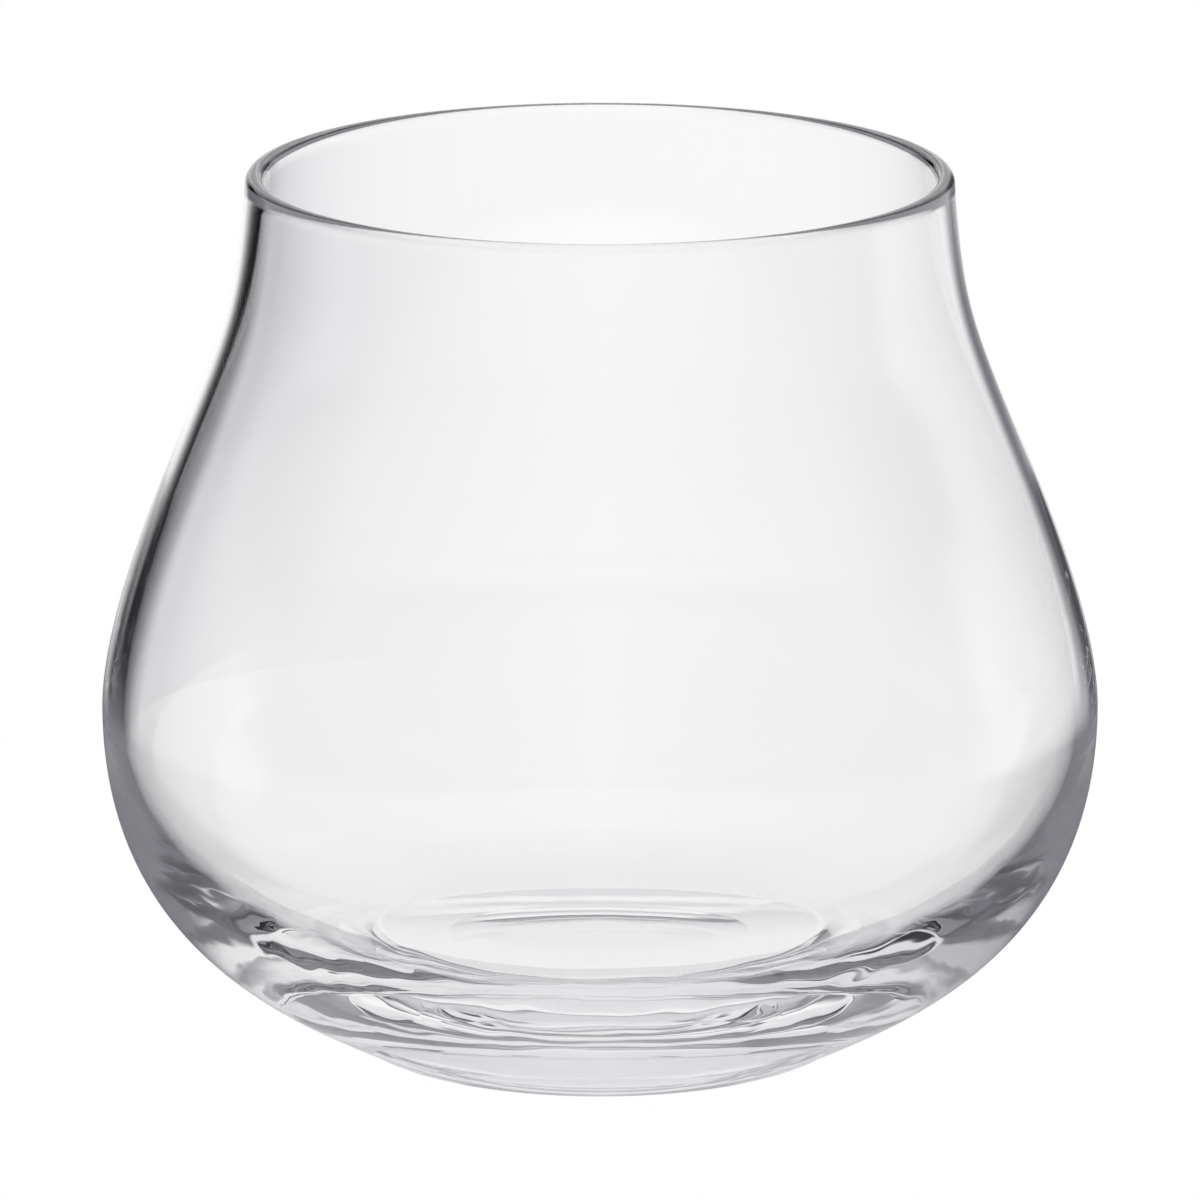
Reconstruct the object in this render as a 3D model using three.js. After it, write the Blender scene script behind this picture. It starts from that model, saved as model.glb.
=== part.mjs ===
// A low, full-bellied drinking glass, blown in one piece of clear glass.
// It is a solid of revolution about +Z: a small foot with a shallow hollow under it, a heavy base,
// a wide belly low down, and a wall that thins as it draws in to a short neck and a rounded lip.
// Units are millimetres. The origin is the centre of the foot, on the surface that the glass stands on.
import * as THREE from "three";
import { mergeVertices } from "three/addons/utils/BufferGeometryUtils.js";

// Driving sizes of the outside
const HEIGHT = 88.4;
const BELLY_RADIUS = 50;
const BELLY_HEIGHT = 33.9;
const SHOULDER_RADIUS = 43.3;
const SHOULDER_HEIGHT = 58.1;
const RIM_RADIUS = 35.25;
const FOOT_RADIUS = 24.85;
const FOOT_FLARE_DEG = 31.15;
const HEEL_ROUNDING = 2.18;
const SHOULDER_LEAN_DEG = 22.2;
const RIM_LEAN_DEG = 5;

// Driving sizes of the glass itself
const RIM_WALL = 1.9;
const SHOULDER_WALL = 1.6;
const BELLY_WALL = 2.05;
const BOWL_SIDE_HEIGHT = 33.86;
const BOWL_FLAT_RADIUS = 3.88;
const FLOOR_THICKNESS = 4.58;
const PUNT_DEPTH = 0.78;
const PUNT_EDGE_ROUNDING = 2.73;
const FOOT_RING_WIDTH = 8.35;

// How far each curve keeps its end direction, as shares of the straight run between its two ends
const UNDERSIDE_SWEEP_SHARES = [0.2, 0.565];
const FLANK_SWEEP_SHARES = [0.3, 0.21];
const NECK_SWEEP_SHARES = [0.54, 0.44];
const BOWL_SWEEP_SHARES = [0.404, 0.423];

// Fineness of the mesh
const STEPS_ROUND = 64;
const STEPS_UNDERSIDE = 9;
const STEPS_FLANK = 7;
const STEPS_NECK = 8;
const STEPS_BOWL = 12;
const STEPS_PUNT = 4;
const STEPS_ROUNDING = 3;
const STEPS_LIP = 6;

const CLEAR_GLASS = new THREE.MeshStandardMaterial({
  name: "clear_glass",
  color: 0xf4f6f8,
  roughness: 0.02,
  metalness: 0,
  transparent: true,
  opacity: 0.35,
});

const radians = THREE.MathUtils.degToRad;

// A unit vector in the half plane of the profile: x is the radius and y the height.
function direction(degreesFromOutward) {
  return new THREE.Vector2(1, 0).rotateAround(new THREE.Vector2(), radians(degreesFromOutward));
}

// A station is a place on the profile with the direction in which the profile runs on upwards there.
function station(radius, height, degreesFromOutward) {
  return { at: new THREE.Vector2(radius, height), heading: direction(degreesFromOutward) };
}

// The same station on the inner face, one wall thickness away, square to the profile.
function inset(outer, wall) {
  const inward = new THREE.Vector2(-outer.heading.y, outer.heading.x);
  return { at: outer.at.clone().addScaledVector(inward, wall), heading: outer.heading };
}

// The smooth run between two stations, as a cubic curve that keeps both headings.
function run(low, high, shares, steps) {
  const span = low.at.distanceTo(high.at);
  const leave = low.at.clone().addScaledVector(low.heading, shares[0] * span);
  const arrive = high.at.clone().addScaledVector(high.heading, -shares[1] * span);
  return new THREE.CubicBezierCurve(low.at, leave, arrive, high.at).getPoints(steps);
}

// Points at even angles on a circle, the angles in degrees from outward.
function arc(centre, radius, fromDeg, toDeg, steps) {
  const points = [];
  for (let i = 0; i <= steps; i += 1) {
    const angle = fromDeg + ((toDeg - fromDeg) * i) / steps;
    points.push(centre.clone().addScaledVector(direction(angle), radius));
  }
  return points;
}

// The four stations of the outside, from the foot up. The heel is rounded where the flat foot ring
// turns up into the flare, so the foot station is where that rounding ends.
const heelReach = HEEL_ROUNDING * Math.tan(radians(FOOT_FLARE_DEG) / 2);
const heelEnd = direction(FOOT_FLARE_DEG).multiplyScalar(heelReach);
const foot = station(FOOT_RADIUS + heelEnd.x, heelEnd.y, FOOT_FLARE_DEG);
const belly = station(BELLY_RADIUS, BELLY_HEIGHT, 90);
const shoulder = station(SHOULDER_RADIUS, SHOULDER_HEIGHT, 90 + SHOULDER_LEAN_DEG);
const lip = new THREE.Vector2(RIM_RADIUS - RIM_WALL / 2, HEIGHT - RIM_WALL / 2);
const rim = inset({ at: lip, heading: direction(90 + RIM_LEAN_DEG) }, -RIM_WALL / 2);

// The foot from the axis outwards: the dome of the punt, its rounded edge, the flat ring, the heel.
function footPoints() {
  const ringInner = FOOT_RADIUS - FOOT_RING_WIDTH;
  const domeRadius = (ringInner * ringInner + PUNT_DEPTH * PUNT_DEPTH) / (2 * PUNT_DEPTH);
  const domeCentre = new THREE.Vector2(0, PUNT_DEPTH - domeRadius);
  const edgeRise = PUNT_EDGE_ROUNDING - domeCentre.y;
  const edgeRun = Math.sqrt((domeRadius + PUNT_EDGE_ROUNDING) ** 2 - edgeRise ** 2);
  const edgeCentre = new THREE.Vector2(edgeRun, PUNT_EDGE_ROUNDING);
  const edgeDeg = THREE.MathUtils.radToDeg(Math.atan2(edgeRise, edgeRun));
  const heelCentre = new THREE.Vector2(FOOT_RADIUS - heelReach, HEEL_ROUNDING);
  const dome = arc(domeCentre, domeRadius, 90, edgeDeg, STEPS_PUNT);
  const edge = arc(edgeCentre, PUNT_EDGE_ROUNDING, edgeDeg + 180, 270, STEPS_ROUNDING);
  const heel = arc(heelCentre, HEEL_ROUNDING, -90, FOOT_FLARE_DEG - 90, STEPS_ROUNDING);
  dome[0].x = 0;
  return [...dome, ...edge.slice(1), ...heel];
}

// The whole profile, from the axis under the foot round the lip to the axis on the floor of the bowl
function profile() {
  const underside = run(foot, belly, UNDERSIDE_SWEEP_SHARES, STEPS_UNDERSIDE);
  const flank = run(belly, shoulder, FLANK_SWEEP_SHARES, STEPS_FLANK);
  const neck = run(shoulder, rim, NECK_SWEEP_SHARES, STEPS_NECK);
  const lipRound = arc(lip, RIM_WALL / 2, RIM_LEAN_DEG, RIM_LEAN_DEG + 180, STEPS_LIP);
  const innerRim = inset(rim, RIM_WALL);
  const innerShoulder = inset(shoulder, SHOULDER_WALL);
  const bowlSide = station(BELLY_RADIUS - BELLY_WALL, BOWL_SIDE_HEIGHT, 90);
  const bowlFloor = station(BOWL_FLAT_RADIUS, PUNT_DEPTH + FLOOR_THICKNESS, 0);
  const innerNeck = run(innerShoulder, innerRim, NECK_SWEEP_SHARES, STEPS_NECK).reverse();
  const innerFlank = run(bowlSide, innerShoulder, FLANK_SWEEP_SHARES, STEPS_FLANK).reverse();
  const bowl = run(bowlFloor, bowlSide, BOWL_SWEEP_SHARES, STEPS_BOWL).reverse();
  return [
    ...footPoints(),
    ...underside.slice(1),
    ...flank.slice(1),
    ...neck.slice(1),
    ...lipRound.slice(1, -1),
    ...innerNeck,
    ...innerFlank.slice(1),
    ...bowl.slice(1),
    new THREE.Vector2(0, bowlFloor.at.y),
  ];
}

// The profile turned about the axis, with the axis stood up from +Y to +Z.
function turned(points) {
  const lathe = new THREE.LatheGeometry(points, STEPS_ROUND).rotateX(Math.PI / 2);
  lathe.deleteAttribute("normal");
  lathe.deleteAttribute("uv");
  const closed = mergeVertices(lathe);
  closed.computeVertexNormals();
  return closed;
}

const group = new THREE.Group();
group.name = "tumbler";

const glass = new THREE.Mesh(turned(profile()), CLEAR_GLASS);
glass.name = "tumbler_glass";
group.add(glass);

export default group;
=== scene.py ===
import math

import bpy
import numpy as np
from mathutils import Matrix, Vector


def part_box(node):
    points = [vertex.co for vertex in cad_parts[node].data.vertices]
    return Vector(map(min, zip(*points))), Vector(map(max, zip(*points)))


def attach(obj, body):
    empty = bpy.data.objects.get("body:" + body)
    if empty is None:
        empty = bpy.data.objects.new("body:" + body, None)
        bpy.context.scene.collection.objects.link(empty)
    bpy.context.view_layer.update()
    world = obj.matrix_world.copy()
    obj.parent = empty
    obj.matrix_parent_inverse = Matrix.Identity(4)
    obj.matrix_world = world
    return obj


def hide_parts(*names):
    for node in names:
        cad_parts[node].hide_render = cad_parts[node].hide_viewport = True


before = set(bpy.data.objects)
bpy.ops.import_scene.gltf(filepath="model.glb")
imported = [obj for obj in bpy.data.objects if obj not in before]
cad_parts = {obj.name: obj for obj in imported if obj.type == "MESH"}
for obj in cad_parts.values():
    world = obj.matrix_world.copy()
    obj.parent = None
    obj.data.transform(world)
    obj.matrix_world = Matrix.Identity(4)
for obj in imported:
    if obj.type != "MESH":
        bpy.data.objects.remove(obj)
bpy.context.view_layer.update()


# The camera
# A long lens, as such product pictures use, about a metre from the glass and a little above its rim.
# Sizes here and below are in metres.
CAMERA_DISTANCE = 1.0
CAMERA_ELEVATION = math.radians(14.26)
CAMERA_FOCAL_MM = 299.1
CAMERA_AIM_HEIGHT = 0.0445

camera = bpy.data.objects.new("camera", bpy.data.cameras.new("camera"))
camera.data.lens = CAMERA_FOCAL_MM
camera.location = (
    0,
    -CAMERA_DISTANCE * math.cos(CAMERA_ELEVATION),
    CAMERA_AIM_HEIGHT + CAMERA_DISTANCE * math.sin(CAMERA_ELEVATION),
)
camera.rotation_euler = (math.pi / 2 - CAMERA_ELEVATION, 0, 0)
bpy.context.scene.collection.objects.link(camera)
bpy.context.scene.camera = camera


# The studio light
# A white room lights all that isn't glass. What the glass throws back sees the set round it, the
# ceiling over the set and the dim floor. Seen straight through, the backdrop falls off to the left.

# Each stop is a bearing in degrees from straight behind the glass, below 0 on its left, and a colour.
# The set: a white backdrop, a black card and a strip light on the left, a white panel on the right.
SET_AT_BEARINGS = (
    (-180, "#B4B4B8"),
    (-130, "#8A8A90"),
    (-98, "#8A8A90"),
    (-88, "#C0C0C5"),
    (-60, "#BCBCC1"),
    (-52, "#B4B4B9"),
    (-48, "#D8D8DC"),
    (-45, "#DCDCE0"),
    (-41, "#141417"),
    (-23, "#0E0E10"),
    (-18, "#E2E2E5"),
    (-12, "#FFFFFF"),
    (10, "#FFFFFF"),
    (13, "#7C7B82"),
    (17, "#6E6D74"),
    (24, "#77767D"),
    (29, "#F4F4F5"),
    (76, "#F6F6F6"),
    (86, "#84848A"),
    (130, "#84848A"),
    (180, "#B4B4B8"),
)
# The ceiling: bright over the backdrop and dark over the sides.
CEILING_AT_BEARINGS = (
    (-180, "#B4B4B8"),
    (-135, "#808086"),
    (-105, "#808086"),
    (-94, "#4C4C52"),
    (-84, "#4C4C52"),
    (-72, "#78787E"),
    (-58, "#E4E4E7"),
    (58, "#EDEDEE"),
    (72, "#78787E"),
    (84, "#4C4C52"),
    (94, "#4C4C52"),
    (105, "#808086"),
    (135, "#808086"),
    (180, "#B4B4B8"),
)
# The backdrop as it is seen straight through the glass.
BACKDROP_AT_BEARINGS = (
    (-60, "#FFFFFF"),
    (-35, "#E0E0E3"),
    (-22, "#BCBCC2"),
    (-17, "#C8C8CE"),
    (-12, "#D2D2D8"),
    (-8, "#DFDFE4"),
    (-5, "#EFEFF2"),
    (-2, "#FCFCFD"),
    (1, "#FFFFFF"),
)
DIM_FLOOR = "#7E7E84"
WHITE = "#FFFFFF"

# Elevations in degrees between which the set gives way to the ceiling, the set to the floor, and a weak
# fall-off of the backdrop to the full one
SET_TOP = (8, 15)
SET_FOOT = (-11, -15)
FALL_OFF = (-14, -10.5)
LOW_FALL_OFF = 0.3

# Light Path counts bounces in whole numbers: none is below this, and one or more above it
ANY_BOUNCE = 0.5
# A ray turns many times in the thick base before it leaves, and each turn inside it counts as glossy
MOST_BOUNCES = 48
GLOSSY_BOUNCES = 40

# The colour sockets of a Mix node by number: the share of the second colour, both colours, the result
SHARE, FIRST, SECOND, MIXED = 0, 6, 7, 2


def linear(colour):
    """The linear red, green and blue of an sRGB hex colour, and 1. Dark channels c become c / 12.92, and
    the others ((c + 0.055) / 1.055) ^ 2.4."""
    channels = [int(colour[i : i + 2], 16) / 255 for i in (1, 3, 5)]
    return [c / 12.92 if c <= 0.04045 else ((c + 0.055) / 1.055) ** 2.4 for c in channels] + [1]


def add_node(tree, kind, inputs=None, stops=(), **settings):
    """Adds a node, sets its properties, and fills its inputs with values or with links from outputs and
    nodes. Stops, for a Color Ramp, are places from 0 to 1 with their sRGB hex colours."""
    node = tree.nodes.new(kind)
    for name, value in settings.items():
        setattr(node, name, value)
    for name, value in (inputs or {}).items():
        if isinstance(value, bpy.types.Node):
            value = value.outputs[0]
        if isinstance(value, bpy.types.NodeSocket):
            tree.links.new(value, node.inputs[name])
        else:
            node.inputs[name].default_value = value
    if stops:
        elements = node.color_ramp.elements
        while len(elements) < len(stops):
            elements.new(1)
        for element, (spot, colour) in zip(elements, stops):
            element.position = spot
            element.color = linear(colour)
    return node


def glass_rays(tree):
    """Two masks: a ray that has met glass and no matt surface, and one of these thrown back by it."""
    ray = add_node(tree, "ShaderNodeLightPath").outputs
    met_glass = add_node(
        tree,
        "ShaderNodeMath",
        {0: ray["Is Glossy Ray"], 1: ray["Is Transmission Ray"]},
        operation="MAXIMUM",
    )
    clean = add_node(
        tree, "ShaderNodeMath", {0: ray["Diffuse Depth"], 1: ANY_BOUNCE}, operation="LESS_THAN"
    )
    turned = add_node(
        tree, "ShaderNodeMath", {0: ray["Glossy Depth"], 1: ANY_BOUNCE}, operation="GREATER_THAN"
    )
    through = add_node(tree, "ShaderNodeMath", {0: met_glass, 1: clean}, operation="MULTIPLY")
    thrown_back = add_node(tree, "ShaderNodeMath", {0: through, 1: turned}, operation="MULTIPLY")
    return through, thrown_back


def once_round(stops):
    """Stops of a ramp that runs once round the room: each bearing over 360, plus a half."""
    return [(degrees / 360 + 0.5, colour) for degrees, colour in stops]


def rising(height, start, end):
    """Inputs of a Map Range from 0 at one elevation to 1 at another: the height of a direction of unit
    length, between the sines of both angles."""
    return {
        "Value": height,
        "From Min": math.sin(math.radians(start)),
        "From Max": math.sin(math.radians(end)),
    }


world = bpy.data.worlds.new("studio")
bpy.context.scene.world = world
world.use_nodes = True
tree = world.node_tree
tree.nodes.clear()
through, thrown_back = glass_rays(tree)
place = add_node(tree, "ShaderNodeTexCoord").outputs["Generated"]
direction = add_node(tree, "ShaderNodeSeparateXYZ", {0: place}).outputs
bearing = add_node(
    tree, "ShaderNodeMath", {0: direction["X"], 1: direction["Y"]}, operation="ARCTAN2"
)
turn = add_node(
    tree, "ShaderNodeMapRange", {"Value": bearing, "From Min": -math.pi, "From Max": math.pi}
)
studio_set, ceiling, backdrop = (
    add_node(tree, "ShaderNodeValToRGB", {"Fac": turn}, once_round(stops))
    for stops in (SET_AT_BEARINGS, CEILING_AT_BEARINGS, BACKDROP_AT_BEARINGS)
)
over, under = (
    add_node(
        tree, "ShaderNodeMapRange", rising(direction["Z"], *band), interpolation_type="SMOOTHSTEP"
    )
    for band in (SET_TOP, SET_FOOT)
)
fall_off = add_node(
    tree, "ShaderNodeMapRange", rising(direction["Z"], *FALL_OFF) | {"To Min": LOW_FALL_OFF}
)
lit = add_node(
    tree, "ShaderNodeMix", {SHARE: over, FIRST: studio_set, SECOND: ceiling}, data_type="RGBA"
)
studio = add_node(
    tree,
    "ShaderNodeMix",
    {SHARE: under, FIRST: lit.outputs[MIXED], SECOND: linear(DIM_FLOOR)},
    data_type="RGBA",
)
shaded = add_node(
    tree, "ShaderNodeMix", {SHARE: fall_off, FIRST: linear(WHITE), SECOND: backdrop}, data_type="RGBA"
)
seen_through = add_node(
    tree,
    "ShaderNodeMix",
    {SHARE: through, FIRST: linear(WHITE), SECOND: shaded.outputs[MIXED]},
    data_type="RGBA",
)
room_light = add_node(
    tree,
    "ShaderNodeMix",
    {SHARE: thrown_back, FIRST: seen_through.outputs[MIXED], SECOND: studio.outputs[MIXED]},
    data_type="RGBA",
)
room = add_node(tree, "ShaderNodeBackground", {"Color": room_light.outputs[MIXED]})
add_node(tree, "ShaderNodeOutputWorld", {"Surface": room})

bpy.context.scene.view_settings.view_transform = "Standard"
bpy.context.scene.cycles.max_bounces = MOST_BOUNCES
bpy.context.scene.cycles.transmission_bounces = MOST_BOUNCES
bpy.context.scene.cycles.glossy_bounces = GLOSSY_BOUNCES
bpy.context.scene.cycles.blur_glossy = 0


# The table top
# A round white plinth, matt. Seen through the glass, its colour has painted shade, a little darker
# where the glass stands over it. What the glass throws back of it has painted light and shade: bright
# round the foot and towards the viewer, and dim where the set would shade it.
PLINTH_RADIUS = 0.13
PLINTH_DROP = 0.0001
PLINTH_STEPS = 96
# Places from the middle, 0, to the edge, 1, and the colours there: painted shade seen straight through
# the glass, from the axis outwards, and painted light and shade thrown back by it, from the brightest
# painted spot outwards
PLINTH_PAINTED_SHADE_THROUGH_GLASS = ((0, "#F1F1F2"), (0.25, "#F8F8F9"), (0.42, "#FFFFFF"))
PLINTH_PAINTED_LIGHT_AND_SHADE_THROWN_BACK = ((0, "#E0E0E4"), (0.25, "#D0D0D4"), (0.4, "#A8A8AC"), (0.5, "#77777C"))
# The middle of the painted light that the glass throws back, a little towards the viewer
PAINTED_LIGHT_AT = (0, -0.025, 0)


def disc(radius, height, steps):
    """A flat face that looks up: one polygon through (r cos a, r sin a, height) at even angles a."""
    angle = np.arange(steps) * 2 * np.pi / steps
    level = np.full(steps, height)
    ring = np.column_stack([radius * np.cos(angle), radius * np.sin(angle), level])
    mesh = bpy.data.meshes.new("table_top")
    mesh.from_pydata(ring.tolist(), [], [list(range(steps))])
    return mesh


table_top = bpy.data.objects.new("table_top", disc(PLINTH_RADIUS, -PLINTH_DROP, PLINTH_STEPS))
bpy.context.scene.collection.objects.link(table_top)

# Matt white paint, rolled on board: no gloss at all, so from the room light it takes only the faint
# shadow of the glass. To rays from the glass its colour is the painted shade and painted light of the
# ramps above.
paint = bpy.data.materials.new("matt_white_paint_with_painted_light_and_shade")
paint.use_nodes = True
tree = paint.node_tree
tree.nodes.clear()
through, thrown_back = glass_rays(tree)
place = add_node(tree, "ShaderNodeTexCoord").outputs["Object"]
from_axis = add_node(tree, "ShaderNodeVectorMath", {0: place}, operation="LENGTH")
reach = add_node(
    tree, "ShaderNodeMapRange", {"Value": from_axis.outputs["Value"], "From Max": PLINTH_RADIUS}
)
# Painted shade: the plinth darker near the axis, under the glass, as seen through it
seen_through = add_node(tree, "ShaderNodeValToRGB", {"Fac": reach}, PLINTH_PAINTED_SHADE_THROUGH_GLASS)
# Painted light round a spot by the foot and painted shade further out, as the glass throws it back
from_painted_light = add_node(tree, "ShaderNodeVectorMath", {0: place, 1: PAINTED_LIGHT_AT}, operation="DISTANCE")
painted_light_reach = add_node(
    tree, "ShaderNodeMapRange", {"Value": from_painted_light.outputs["Value"], "From Max": PLINTH_RADIUS}
)
painted_light_and_shade_thrown_back = add_node(tree, "ShaderNodeValToRGB", {"Fac": painted_light_reach}, PLINTH_PAINTED_LIGHT_AND_SHADE_THROWN_BACK)
in_glass = add_node(
    tree,
    "ShaderNodeMix",
    {SHARE: thrown_back, FIRST: seen_through, SECOND: painted_light_and_shade_thrown_back},
    data_type="RGBA",
)
colour = add_node(
    tree,
    "ShaderNodeMix",
    {SHARE: through, FIRST: linear(WHITE), SECOND: in_glass.outputs[MIXED]},
    data_type="RGBA",
)
matt = add_node(tree, "ShaderNodeBsdfDiffuse", {"Color": colour.outputs[MIXED]})
add_node(tree, "ShaderNodeOutputMaterial", {"Surface": matt})
table_top.data.materials.append(paint)


# The glass
# One piece of clear glass, blown into a turning mould: a small foot with a hollow under it, a heavy
# base, and a wall that thins as it draws in to the neck. The lip was cut and melted round.

# The outside. Angles are from straight outwards, and the two leans are past upright.
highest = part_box("tumbler_glass")[1]
HEIGHT = highest[2]
BELLY_RADIUS = highest[0]
BELLY_HEIGHT = 0.0339
SHOULDER_RADIUS = 0.0433
SHOULDER_HEIGHT = 0.0581
SHOULDER_LEAN = math.radians(22.2)
RIM_RADIUS = 0.03525
RIM_LEAN = math.radians(5)
FOOT_RADIUS = 0.02485
FOOT_FLARE = math.radians(31.15)
HEEL_ROUNDING = 0.00218
UPRIGHT = math.pi / 2

# The glass between the outside and the bowl, and the hollow under the foot
RIM_WALL = 0.0019
SHOULDER_WALL = 0.0016
BELLY_WALL = 0.00205
BOWL_SIDE_HEIGHT = 0.03386
BOWL_FLAT_RADIUS = 0.00388
FLOOR_THICKNESS = 0.00458
PUNT_DEPTH = 0.00078
PUNT_EDGE_ROUNDING = 0.00273
FOOT_RING_WIDTH = 0.00835

# How far each curve keeps its end direction, as shares of the straight run between its two ends
UNDERSIDE_SHARES = (0.2, 0.565)
FLANK_SHARES = (0.3, 0.21)
NECK_SHARES = (0.54, 0.44)
BOWL_SHARES = (0.404, 0.423)

# Fineness of the mesh, round the axis and along the profile
STEPS_ROUND = 288
PUNT_STEPS = 24
ROUNDING_STEPS = 8
BASE_STEPS = 60
WALL_STEPS = 40
LIP_STEPS = 14
FLOOR_STEPS = 7

# Fire-polished glass, and the waves in it: their length, their height, and where they fade, by height
# over the table and by distance from the middle of the foot
GLASS_IOR = 1.52
RIPPLE_LENGTH = 0.004
RIPPLE_HEIGHT = 0.000025
RIPPLE_FULL_BELOW = 0.016
RIPPLE_NONE_ABOVE = 0.032
RIPPLE_NONE_WITHIN = 0.022
RIPPLE_FULL_BEYOND = 0.034


def station(radius, height, angle):
    """A place on the profile and the heading in which the profile runs on there, (cos a, sin a)."""
    return np.array([radius, height]), np.array([math.cos(angle), math.sin(angle)])


def inset(outer, wall):
    """The station one wall in from another: moved along its heading, turned a quarter to the left."""
    spot, heading = outer
    return spot + wall * np.array([-heading[1], heading[0]]), heading


def run(low, high, shares, steps):
    """A cubic Bezier curve between two stations. Its inner points lie along the two headings, by shares
    of the straight span: (1-t)^3 low + 3t(1-t)^2 leave + 3t^2(1-t) arrive + t^3 high."""
    span = np.linalg.norm(high[0] - low[0])
    leave = low[0] + shares[0] * span * low[1]
    arrive = high[0] - shares[1] * span * high[1]
    t = np.linspace(0, 1, steps + 1)[:, None]
    return (
        (1 - t) ** 3 * low[0]
        + 3 * t * (1 - t) ** 2 * leave
        + 3 * t**2 * (1 - t) * arrive
        + t**3 * high[0]
    )


def arc(centre, radius, start, end, steps):
    """Points at even angles a on a circle: the centre plus the radius times (cos a, sin a)."""
    angle = np.linspace(start, end, steps + 1)
    return centre + radius * np.column_stack([np.cos(angle), np.sin(angle)])


def revolve(name, profile, steps):
    """The profile turned about Z: ring k holds (r cos a, r sin a, z) at even angles a, and the two ends
    of the profile are single points on the axis, each closed by a fan of triangles."""
    angle = np.arange(steps) * 2 * np.pi / steps
    r, z = profile[1:-1, 0, None], profile[1:-1, 1, None]
    rings = np.stack([r * np.cos(angle), r * np.sin(angle), z + 0 * angle], axis=-1).reshape(-1, 3)
    points = np.vstack([[0, 0, profile[0, 1]], rings, [0, 0, profile[-1, 1]]])
    here = np.arange(steps)
    there = (here + 1) % steps
    base = 1 + steps * np.arange(len(profile) - 3)[:, None]
    quads = np.stack([base + here, base + there, base + steps + there, base + steps + here], axis=-1)
    top = 1 + steps * (len(profile) - 3)
    first = np.column_stack([0 * here, there + 1, here + 1])
    last = np.column_stack([top + here, top + there, np.full(steps, len(points) - 1)])
    faces = quads.reshape(-1, 4).tolist() + first.tolist() + last.tolist()
    mesh = bpy.data.meshes.new(name)
    mesh.from_pydata(points.tolist(), [], faces)
    mesh.shade_smooth()
    return mesh


# The foot from the axis outwards: the dome of the hollow, its rounded edge, the flat ring and the heel
ring_inner = FOOT_RADIUS - FOOT_RING_WIDTH
punt_radius = (ring_inner**2 + PUNT_DEPTH**2) / (2 * PUNT_DEPTH)
punt_centre = PUNT_DEPTH - punt_radius
edge_rise = PUNT_EDGE_ROUNDING - punt_centre
edge_radius = math.sqrt((punt_radius + PUNT_EDGE_ROUNDING) ** 2 - edge_rise**2)
edge_angle = math.atan2(edge_rise, edge_radius)
edge_centre = np.array([edge_radius, PUNT_EDGE_ROUNDING])
heel_reach = HEEL_ROUNDING * math.tan(FOOT_FLARE / 2)
heel_centre = np.array([FOOT_RADIUS - heel_reach, HEEL_ROUNDING])
dome = arc(np.array([0, punt_centre]), punt_radius, UPRIGHT, edge_angle, PUNT_STEPS)
edge = arc(edge_centre, PUNT_EDGE_ROUNDING, edge_angle + math.pi, 3 * UPRIGHT, ROUNDING_STEPS)
heel = arc(heel_centre, HEEL_ROUNDING, -UPRIGHT, FOOT_FLARE - UPRIGHT, ROUNDING_STEPS)

# The stations of the outside from the foot up, and those of the inside
foot = station(
    FOOT_RADIUS + heel_reach * math.cos(FOOT_FLARE), heel_reach * math.sin(FOOT_FLARE), FOOT_FLARE
)
belly = station(BELLY_RADIUS, BELLY_HEIGHT, UPRIGHT)
shoulder = station(SHOULDER_RADIUS, SHOULDER_HEIGHT, UPRIGHT + SHOULDER_LEAN)
lip = station(RIM_RADIUS - RIM_WALL / 2, HEIGHT - RIM_WALL / 2, UPRIGHT + RIM_LEAN)
rim = inset(lip, -RIM_WALL / 2)
inner_rim = inset(rim, RIM_WALL)
inner_shoulder = inset(shoulder, SHOULDER_WALL)
bowl_side = station(BELLY_RADIUS - BELLY_WALL, BOWL_SIDE_HEIGHT, UPRIGHT)
bowl_floor = station(BOWL_FLAT_RADIUS, PUNT_DEPTH + FLOOR_THICKNESS, 0)
floor_middle = [0, bowl_floor[0][1]]

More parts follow.
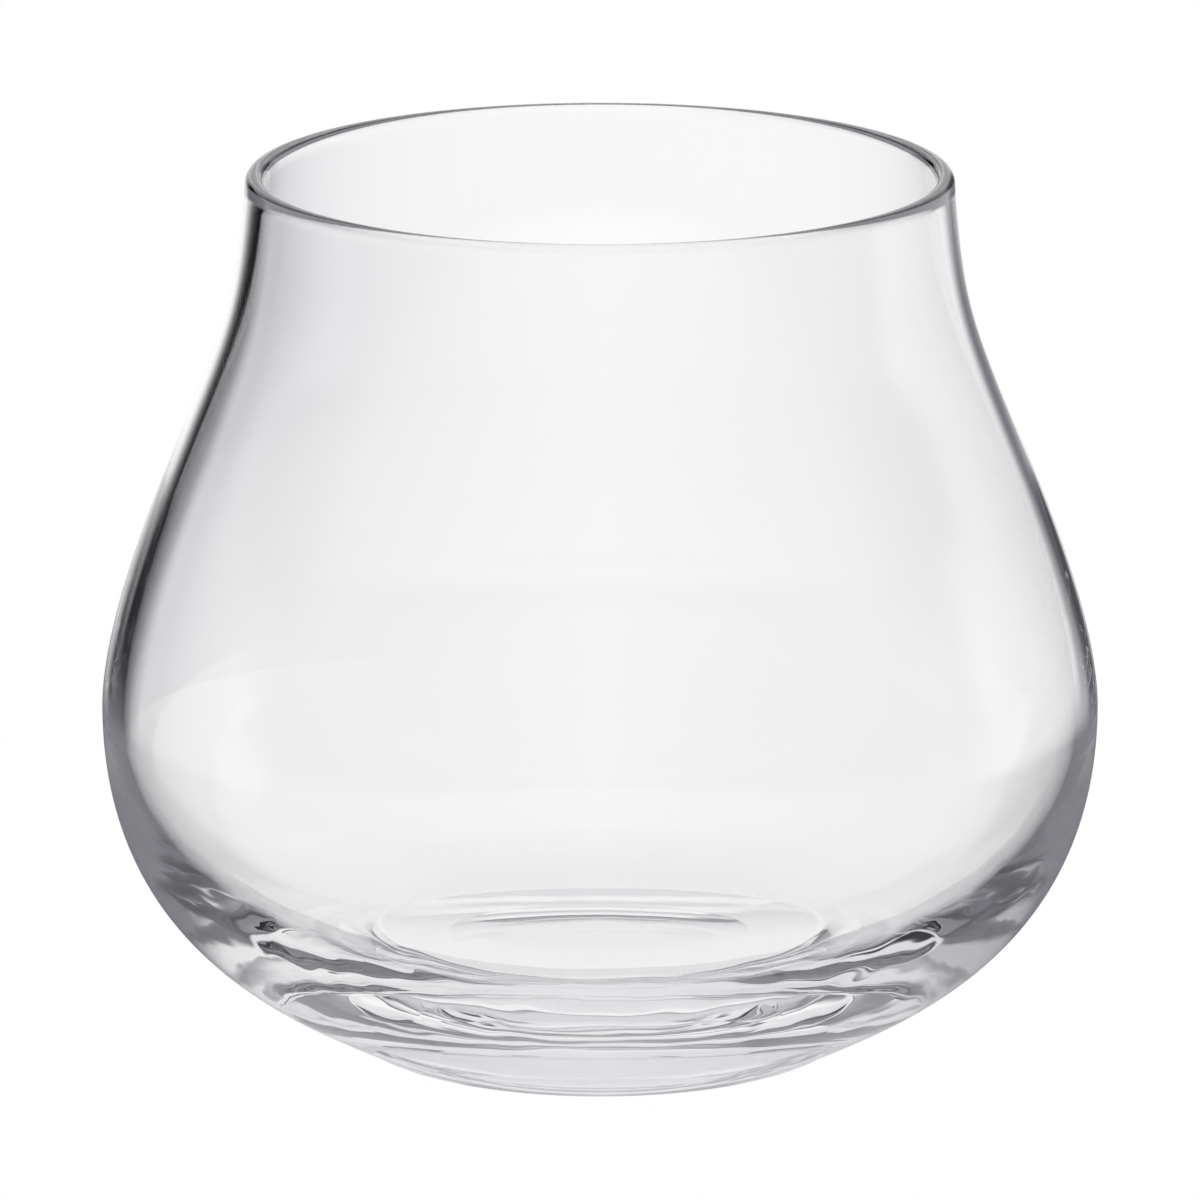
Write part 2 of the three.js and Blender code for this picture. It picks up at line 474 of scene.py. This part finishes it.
# The whole profile, from the axis under the foot round the lip to the axis on the floor of the bowl
profile = np.vstack(
    [
        dome,
        edge[1:],
        heel,
        run(foot, belly, UNDERSIDE_SHARES, BASE_STEPS)[1:],
        run(belly, shoulder, FLANK_SHARES, WALL_STEPS)[1:],
        run(shoulder, rim, NECK_SHARES, WALL_STEPS)[1:],
        arc(lip[0], RIM_WALL / 2, RIM_LEAN, RIM_LEAN + math.pi, LIP_STEPS)[1:-1],
        run(inner_shoulder, inner_rim, NECK_SHARES, WALL_STEPS)[::-1],
        run(bowl_side, inner_shoulder, FLANK_SHARES, WALL_STEPS)[-2::-1],
        run(bowl_floor, bowl_side, BOWL_SHARES, BASE_STEPS)[-2::-1],
        np.linspace(bowl_floor[0], floor_middle, FLOOR_STEPS + 1)[1:],
    ]
)
profile[0, 0] = 0
profile[-1, 0] = 0

glass = bpy.data.objects.new(
    "clear_glass_tumbler", revolve("clear_glass_tumbler", profile, STEPS_ROUND)
)
bpy.context.scene.collection.objects.link(glass)

# Clear soda-lime glass, fire-polished, so it has no grain and no haze. The mould leaves slow waves of
# a few millimetres in the thick lower glass, hundredths of a millimetre high. They curl what is seen
# through it.
clear = bpy.data.materials.new("fire_polished_glass")
clear.use_nodes = True
tree = clear.node_tree
tree.nodes.clear()
place = add_node(tree, "ShaderNodeTexCoord").outputs["Object"]
waves = add_node(
    tree, "ShaderNodeTexNoise", {"Vector": place, "Scale": 1 / RIPPLE_LENGTH, "Detail": 0.0}
)
level = add_node(tree, "ShaderNodeSeparateXYZ", {0: place}).outputs["Z"]
out = add_node(tree, "ShaderNodeVectorMath", {0: place}, operation="LENGTH").outputs["Value"]
wall = add_node(
    tree,
    "ShaderNodeMapRange",
    {"Value": out, "From Min": RIPPLE_NONE_WITHIN, "From Max": RIPPLE_FULL_BEYOND},
)
fade = add_node(
    tree,
    "ShaderNodeMapRange",
    {"Value": level, "From Min": RIPPLE_NONE_ABOVE, "From Max": RIPPLE_FULL_BELOW, "To Max": wall},
)
ripple = add_node(
    tree, "ShaderNodeBump", {"Strength": fade, "Distance": RIPPLE_HEIGHT, "Height": waves}
)
body = add_node(
    tree,
    "ShaderNodeBsdfPrincipled",
    {
        "Base Color": linear(WHITE),
        "Roughness": 0.0,
        "IOR": GLASS_IOR,
        "Transmission Weight": 1.0,
        "Normal": ripple,
    },
)
add_node(tree, "ShaderNodeOutputMaterial", {"Surface": body})
glass.data.materials.append(clear)

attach(glass, "root")
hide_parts("tumbler_glass")
